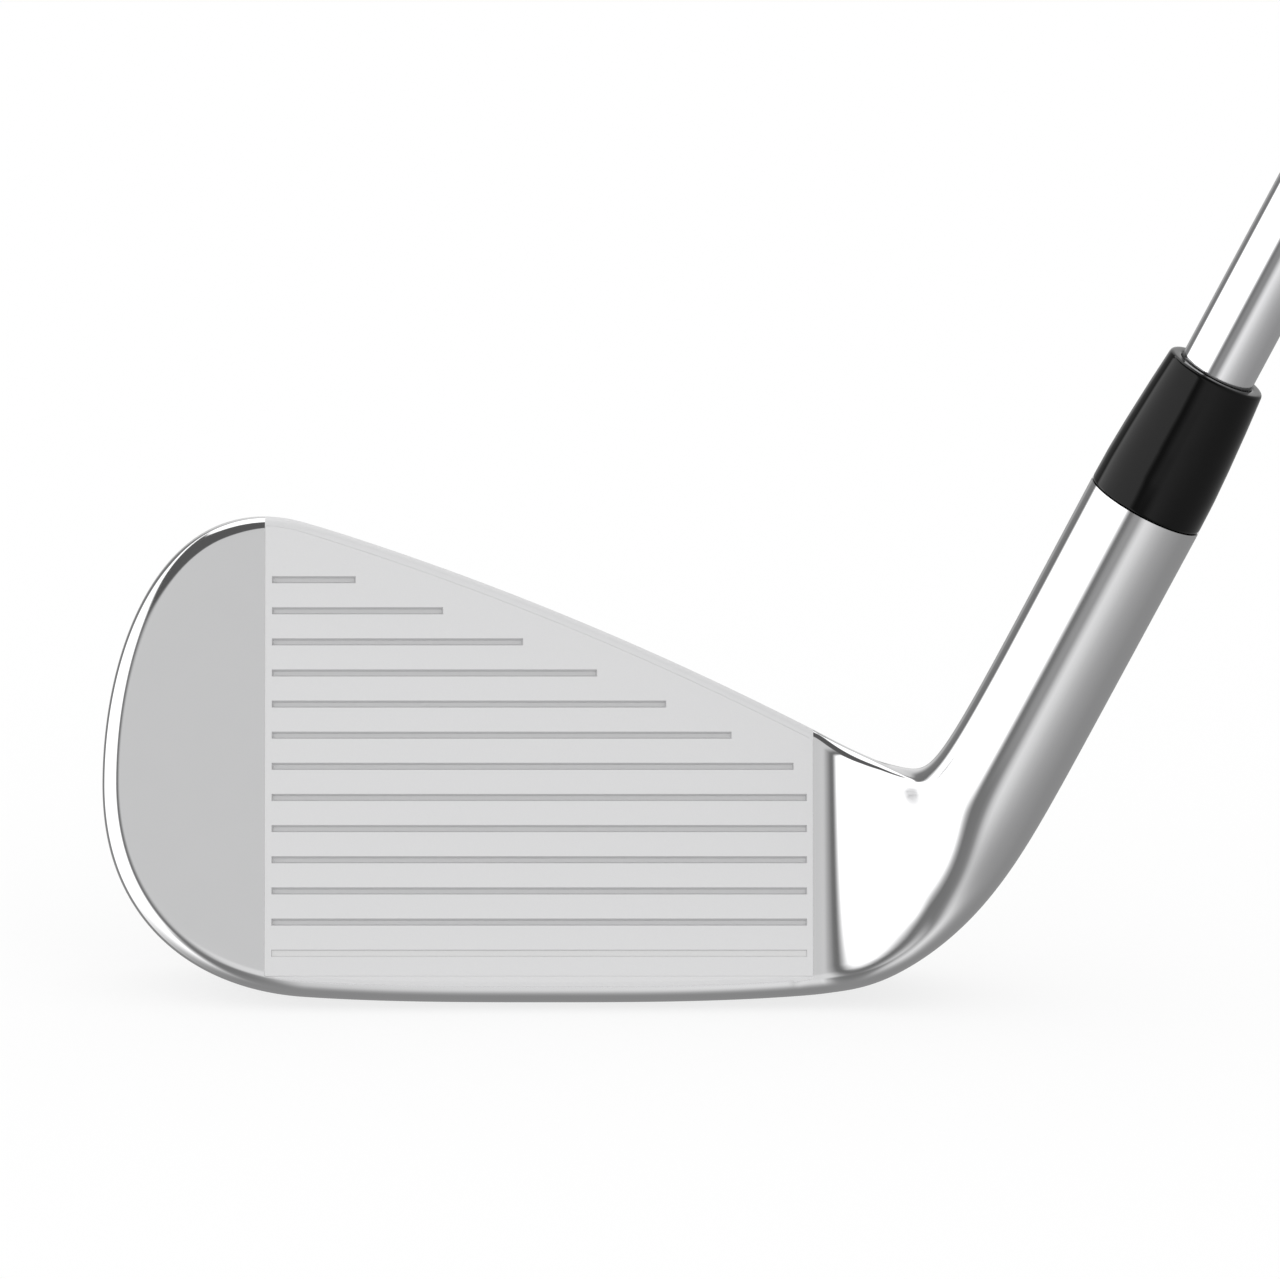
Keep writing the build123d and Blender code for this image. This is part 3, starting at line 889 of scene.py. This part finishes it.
def plate_material():
    material, net, shader = new_material("face_blasted")
    grit = net.noise(9000.0, 2.0)
    depth = depth_behind_face(net)
    wall = net.step(depth, 0.01 * MM, 0.03 * MM)
    floor = net.step(depth, (LINE_DEPTH - 0.03) * MM, (LINE_DEPTH - 0.01) * MM)
    face = net.tint(grit, BLAST_DARK, BLAST_LIGHT)
    # painted shade: the grooves' walls, and less so their floors, are coloured darker than the
    # face round them
    cut = net.tint(floor, GROOVE_WALL_PAINTED_SHADE, GROOVE_FLOOR_PAINTED_SHADE)
    net.put(shader.inputs["Base Color"], net.tint(wall, face, cut))
    shader.inputs["Metallic"].default_value = BLAST_METAL
    net.put(shader.inputs["Roughness"],
            net.blend(wall, net.blend(grit, BLAST_ROUGH - 0.02, BLAST_ROUGH + 0.02), GROOVE_ROUGH))
    net.put(shader.inputs["Normal"], net.bump(grit, 0.12, 0.02 * MM))
    return material


def plain(name, low, high, roughness, grain=600.0, rise=0.0, gloss=0.5):
    """A non-metal: two tones mixed by noise, with a fine bump."""
    material, net, shader = new_material(name)
    fleck = net.noise(grain, 4.0)
    net.put(shader.inputs["Base Color"], net.tint(fleck, low, high))
    net.put(shader.inputs["Roughness"], net.blend(fleck, roughness, roughness + 0.04))
    shader.inputs["Specular IOR Level"].default_value = gloss
    if rise:
        net.put(shader.inputs["Normal"], net.bump(fleck, 0.4, rise))
    return material


# ---- pieces ----
def make_ferrule():
    """The collar, tapering from the hosel to the shaft."""
    base, end = HOSEL_TOP, HOSEL_TOP + FERRULE_LENGTH
    side = [(FERRULE_BASE_R, base), (FERRULE_BASE_R - 0.05, base + 4.0),
            (FERRULE_BASE_R - 0.25, base + FERRULE_LENGTH * 0.45),
            (FERRULE_TOP_R + 0.38, base + FERRULE_LENGTH * 0.75),
            (FERRULE_TOP_R, end)]
    profile = [(SHAFT_TIP_R, base), *side, (SHAFT_TIP_R, end)]
    return lathe("ferrule_sleeve", rounded(profile, 0.45, 6), 128)


def make_shaft():
    """The tube: parallel tip, rising steps, parallel butt, and its bore."""
    outside = [(SHAFT_TIP_R, BORE_FLOOR), (SHAFT_TIP_R, SHAFT_FIRST_STEP)]
    rise = (SHAFT_BUTT_R - SHAFT_TIP_R) / STEP_COUNT
    spacing = (SHAFT_LAST_STEP - SHAFT_FIRST_STEP) / (STEP_COUNT - 1)
    for k in range(STEP_COUNT):
        t = SHAFT_FIRST_STEP + spacing * k
        radius = SHAFT_TIP_R + rise * (k + 1)
        outside.append((radius, t + STEP_LENGTH))
        if k < STEP_COUNT - 1:
            outside.append((radius, t + spacing))
    outside.append((SHAFT_BUTT_R, SHAFT_END))
    inside = []
    for radius, t in reversed(outside):
        share = (radius - SHAFT_TIP_R) / (SHAFT_BUTT_R - SHAFT_TIP_R)
        inside.append((radius - mix(TIP_WALL, BUTT_WALL, share), t))
    return lathe("shaft_tube", outside + inside, 96)


GRIP_ROWS = 330
GRIP_SEGMENTS = 108
TREAD_DEPTH = 0.35
TREAD_MARGIN = 9.0
RING_PITCH = 3.0
LOZENGES = 18                 # waves round the grip
LOZENGE_PITCH = 9.0


def grip_radius(t):
    """The sleeve's radius, a long taper with a rolled mouth."""
    knots = [(GRIP_START, GRIP_MOUTH_R - 0.8), (GRIP_START + 1.5, GRIP_MOUTH_R),
             (GRIP_START + 60, GRIP_MOUTH_R + 0.4), (SHAFT_END - 70, GRIP_BUTT_R - 0.8),
             (SHAFT_END, GRIP_BUTT_R)]
    return float(np.interp(t, [k[0] for k in knots], [k[1] for k in knots]))


def tread(turn, t):
    """How deep the grip's pattern is cut: lozenges in three panels, and end rings."""
    along = t - GRIP_START
    end = GRIP_LENGTH - CAP_THICK
    if along < TREAD_MARGIN or along > end - TREAD_MARGIN:
        ring = 0.5 + 0.5 * math.cos(2 * math.pi * along / RING_PITCH)
        return 0.8 * smooth((ring - 0.6) / 0.3) if 2 < along < end - 3 else 0.0
    panel = abs(math.cos(1.5 * turn))
    up = math.cos(LOZENGES * turn + 2 * math.pi * along / LOZENGE_PITCH)
    down = math.cos(LOZENGES * turn - 2 * math.pi * along / LOZENGE_PITCH)
    lozenge = smooth((max(abs(up), abs(down)) - 0.9) / 0.08)
    return lozenge * smooth((panel - 0.4) / 0.05)


def make_grip():
    """The rubber sleeve, with its tread, closing down onto the shaft at the mouth."""
    inner = SHAFT_BUTT_R + TAPE_THICK
    turns = [2 * math.pi * k / GRIP_SEGMENTS for k in range(GRIP_SEGMENTS)]
    rows = [[on_axis(SHAFT_BUTT_R, turn, GRIP_START) for turn in turns]]
    for t in (GRIP_START, GRIP_START + 0.6, *np.linspace(GRIP_START + 1.5, SHAFT_END, GRIP_ROWS)):
        rows.append([on_axis(grip_radius(t) - TREAD_DEPTH * tread(turn, t), turn, t)
                     for turn in turns])
    for radius, t in ((inner, SHAFT_END), (inner, GRIP_START + MOUTH_LIP),
                      (SHAFT_BUTT_R, GRIP_START + MOUTH_LIP), (SHAFT_BUTT_R, GRIP_START)):
        rows.append([on_axis(radius, turn, t) for turn in turns])
    verts = [v for row in rows for v in row]
    return raw_mesh("grip_sleeve", verts, grid_faces(len(rows), GRIP_SEGMENTS))


def make_cap():
    """The end cap with its raised ring and vent hole."""
    end = CLUB_LENGTH
    profile = [
        (VENT_R, end - CAP_THICK), (GRIP_BUTT_R, end - CAP_THICK),
        (GRIP_BUTT_R + 0.5, end - CAP_THICK + 1.2), (GRIP_BUTT_R + 0.2, end - 1.2),
        (GRIP_BUTT_R - 1.2, end), (8.4, end), (8.0, end - 0.5), (7.2, end - 0.5),
        (6.8, end), (3.6, end), (3.0, end - 0.6), (VENT_R, end - 0.6),
    ]
    return lathe("butt_cap", rounded(profile, 0.35, 4), 96)


BAR_COUNT = 3                 # slanted grooves across the badge
BAR_FOOT_X = -14.0
BAR_PITCH = 4.2
BAR_WIDTH = 1.6
BAR_SLANT = 8.0
BAR_LOW_W = 17.5
BAR_TOP_W = 33.0
BAR_DEPTH = 0.3


def make_badge():
    """The cavity badge, bevelled, with slanted grooves."""
    near = FACE_THICK + PAD_THICK
    badge = prism("badge_plate", pocket_outline(BADGE_GAP), near, near + BADGE_THICK)
    far = near + BADGE_THICK
    for k in range(BAR_COUNT):
        foot, head = BAR_FOOT_X + BAR_PITCH * k, BAR_FOOT_X + BAR_PITCH * k + BAR_SLANT
        bar = [(foot, BAR_LOW_W), (foot + BAR_WIDTH, BAR_LOW_W),
               (head + BAR_WIDTH, BAR_TOP_W), (head, BAR_TOP_W)]
        carve(badge, prism("bar_%d" % k, bar, far - BAR_DEPTH, far + 1.0))
    bevel = badge.modifiers.new("edge", "BEVEL")
    bevel.width = 0.12 * MM
    bevel.segments = 2
    bevel.limit_method = "ANGLE"
    bevel.angle_limit = math.radians(50)
    bake_modifiers(badge)
    return badge


def weight_cutter():
    """The blind hole for the toe weight, square to the face, open at the back."""
    turns = [2 * math.pi * k / 64 for k in range(64)]
    ring = [(WEIGHT_X + WEIGHT_R * math.cos(a), WEIGHT_W + WEIGHT_R * math.sin(a)) for a in turns]
    return prism("weight_hole", ring, WEIGHT_NEAR, CAVITY_FAR)


head = make_head_shell()
carve(head, prism("recess", plate_outline(0.0), -1.0, FACE_THICK))
carve(head, prism("pocket", pocket_outline(0.0), FACE_THICK, CAVITY_FAR))
carve(head, weight_cutter())
dress(head, head_material(), "head_body")
dress(make_face_insert(), plate_material(), "face_plate", angle=20)
dress(make_ferrule(), plain("ferrule_gloss", (0.002, 0.002, 0.002), (0.003, 0.003, 0.003),
                            0.04, gloss=0.16), "ferrule", angle=50)
SHAFT_METAL = metal("shaft_chrome", (0.66, 0.66, 0.67), 0.06, 0.02, 900.0, (1, 1, 0.05))
dress(make_shaft(), SHAFT_METAL, "shaft", angle=40)
RUBBER = plain("grip_rubber", (0.012, 0.012, 0.013), (0.03, 0.03, 0.032), 0.62,
               3000.0, 0.05 * MM, gloss=0.3)
dress(make_grip(), RUBBER, "grip", angle=50)
dress(make_cap(), plain("cap_rubber", (0.015, 0.015, 0.016), (0.035, 0.035, 0.037), 0.55,
                        2500.0, 0.04 * MM, gloss=0.35), "grip_cap", angle=50)
dress(make_badge(), metal("badge_brushed", (0.42, 0.43, 0.45), 0.28, 0.1, 1500.0,
                          (0.03, 1, 1), 0.01 * MM), "cavity_badge")


def dress_cad(node, material):
    slots = frame["nodes"][node].data.materials
    for k in range(len(slots)):
        slots[k] = material
    if not slots:
        slots.append(material)


dress_cad("score_line_paint", plain("line_paint", (0.63, 0.63, 0.63), (0.67, 0.67, 0.67),
                                    0.4, 5000.0, 0.01 * MM))
dress_cad("toe_weight", metal("tungsten", (0.36, 0.36, 0.37), 0.3, 0.08, 2500.0, None, 0.01 * MM))
dress_cad("badge_pad", plain("pad_rubber", (0.02, 0.02, 0.02), (0.04, 0.04, 0.04), 0.7,
                             2500.0, 0.05 * MM))
dress_cad("hosel_epoxy", plain("epoxy", (0.5, 0.42, 0.25), (0.6, 0.52, 0.33), 0.25, 900.0))
dress_cad("tip_weight", metal("brass", (0.72, 0.5, 0.2), 0.22, 0.08, 1800.0, None, 0.01 * MM))
dress_cad("shaft_band", plain("band_film", (0.05, 0.055, 0.06), (0.09, 0.095, 0.1), 0.25, 500.0))
dress_cad("grip_tape", plain("tape", (0.6, 0.55, 0.42), (0.7, 0.65, 0.5), 0.7, 1500.0,
                             0.02 * MM))


# ---- stage ----
FLOOR_HALF = 300.0
FLOOR_GLOW = 1.0
FLOOR_SHARE = 0.75


def make_floor():
    size = FLOOR_HALF
    verts = [(-size, -size, 0), (size, -size, 0), (size, size, 0), (-size, size, 0)]
    mesh = bpy.data.meshes.new("floor")
    mesh.from_pydata(verts, [], [(0, 1, 2, 3)])
    floor = bpy.data.objects.new("floor", mesh)
    bpy.context.scene.collection.objects.link(floor)
    material, net, shader = new_material("floor_pale")
    sheet = net.noise(3.0, 2.0)
    net.put(shader.inputs["Base Color"], net.tint(sheet, (0.9, 0.9, 0.9), (0.91, 0.91, 0.91)))
    shader.inputs["Roughness"].default_value = 0.95
    shader.inputs["Specular IOR Level"].default_value = 0.1
    glow = net.node("ShaderNodeEmission", Strength=FLOOR_GLOW)
    mixed = net.node("ShaderNodeMixShader", Fac=FLOOR_SHARE)
    net.put(mixed.inputs[1], shader.outputs[0])
    net.put(mixed.inputs[2], glow.outputs[0])
    net.put(material.node_tree.nodes["Material Output"].inputs["Surface"], mixed.outputs[0])
    mesh.materials.append(material)
    # mirrors see the studio below instead of the sheet
    floor.visible_glossy = False


SKY_LEVEL = 1.11
WHITE = 2.1
# studio round the object, as brightness by compass bearing: degrees from the front, left positive
UPPER = ((-180, 1.0), (-160, 0.9), (-145, 0.45), (-60, 0.55), (-25, 0.75), (-8, 0.9), (8, 0.95),
         (13, 0.9), (24, 0.27), (29, 0.22), (33, 0.9), (37, WHITE), (124, WHITE), (131, 0.25),
         (150, 0.3), (165, 0.9), (180, 1.0))
LOWER = ((-180, 0.35), (-120, 0.4), (-99, 0.42), (-47, 0.7), (-25, 0.88), (-10, 1.1), (-2, 1.2),
         (4, 0.95), (12, 0.4), (18, 0.3), (31, 0.27), (37, 0.8), (44, WHITE), (120, WHITE),
         (130, 0.3), (180, 0.35))
LOW_FRONT = 1.2               # lift of the studio straight ahead, low down
NADIR = 0.4
GAP_LEVEL = 0.15              # the dark gap round the overhead panel
GAP_START = math.radians(43)
GAP_END = math.radians(47)
PANEL_TIP = math.radians(27)
PANEL_HALF = math.radians(27)
PANEL_CORE = math.radians(23)


def bearing_curve(net, turn, table):
    """Brightness round the compass, as a curve over 0 to 1, scaled back up."""
    top = max(level for _, level in table)
    stops = [(0.5 + bearing / 360, level / top) for bearing, level in table]
    return net.math("MULTIPLY", net.ramp(turn, stops), top)


def make_world():
    studio = bpy.data.worlds.new("studio")
    bpy.context.scene.world = studio
    studio.use_nodes = True
    net = Net(studio.node_tree)
    studio.node_tree.nodes.clear()
    way = net.node("ShaderNodeTexCoord").outputs["Generated"]
    x, y, z = net.node("ShaderNodeSeparateXYZ", Vector=way).outputs[:3]
    bearing = net.math("ARCTAN2", net.math("MULTIPLY", x, -1.0), net.math("MULTIPLY", y, -1.0))
    narrow = net.blend(net.step(z, 0.55, 0.8), 1.0, 0.35)
    turn = net.math("ADD", net.math("DIVIDE", net.math("MULTIPLY", bearing, narrow),
                                    2 * math.pi), 0.5)
    upper = bearing_curve(net, turn, UPPER)
    lower = bearing_curve(net, turn, LOWER)
    near = net.math("MULTIPLY", net.step(y, -0.8, -0.95), net.step(z, 0.5, 0.3))
    upper = net.math("MULTIPLY", upper, net.blend(near, 1.0, LOW_FRONT))
    lower = net.blend(net.step(z, -0.3, -0.95), lower, NADIR)
    # a white panel overhead, tipped back, with a dark gap round it
    over = net.math("ADD", net.math("MULTIPLY", y, math.sin(PANEL_TIP)),
                    net.math("MULTIPLY", z, math.cos(PANEL_TIP)))
    panel = net.step(over, math.cos(PANEL_HALF), math.cos(PANEL_CORE))
    gap = net.step(z, math.sin(GAP_START), math.sin(GAP_END))
    upper = net.blend(gap, upper, GAP_LEVEL)
    upper = net.blend(panel, upper, WHITE)
    seen = net.blend(net.step(z, -0.2, 0.05), lower, upper)
    glossy = net.node("ShaderNodeLightPath").outputs["Is Glossy Ray"]
    level = net.blend(glossy, SKY_LEVEL, seen)
    background = net.node("ShaderNodeBackground", Strength=level)
    background.inputs["Color"].default_value = (1, 1, 1, 1)
    net.node("ShaderNodeOutputWorld", Surface=background.outputs[0])


CAMERA_PITCH = math.radians(14.8)
CAMERA_DISTANCE = 4.5
VIEW_WIDTH = 149.12 * MM
VIEW_X = 11.07 * MM
VIEW_RISE = 40.65 * MM
SENSOR = 36.0


def make_camera():
    data = bpy.data.cameras.new("camera")
    camera = bpy.data.objects.new("camera", data)
    bpy.context.scene.collection.objects.link(camera)
    forward = Vector((0, math.cos(CAMERA_PITCH), -math.sin(CAMERA_PITCH)))
    up = Vector((0, math.sin(CAMERA_PITCH), math.cos(CAMERA_PITCH)))
    # the ground point under the face lies left of and below the middle of the view
    target = Vector((VIEW_X, 0, 0)) + up * VIEW_RISE
    camera.location = target - forward * CAMERA_DISTANCE
    camera.rotation_mode = "QUATERNION"
    camera.rotation_quaternion = forward.to_track_quat("-Z", "Y")
    data.sensor_width = SENSOR
    data.lens = SENSOR * CAMERA_DISTANCE / VIEW_WIDTH
    data.clip_start = 0.05
    data.clip_end = 50
    bpy.context.scene.camera = camera


make_floor()
make_world()
make_camera()
bpy.context.scene.view_settings.view_transform = "Standard"
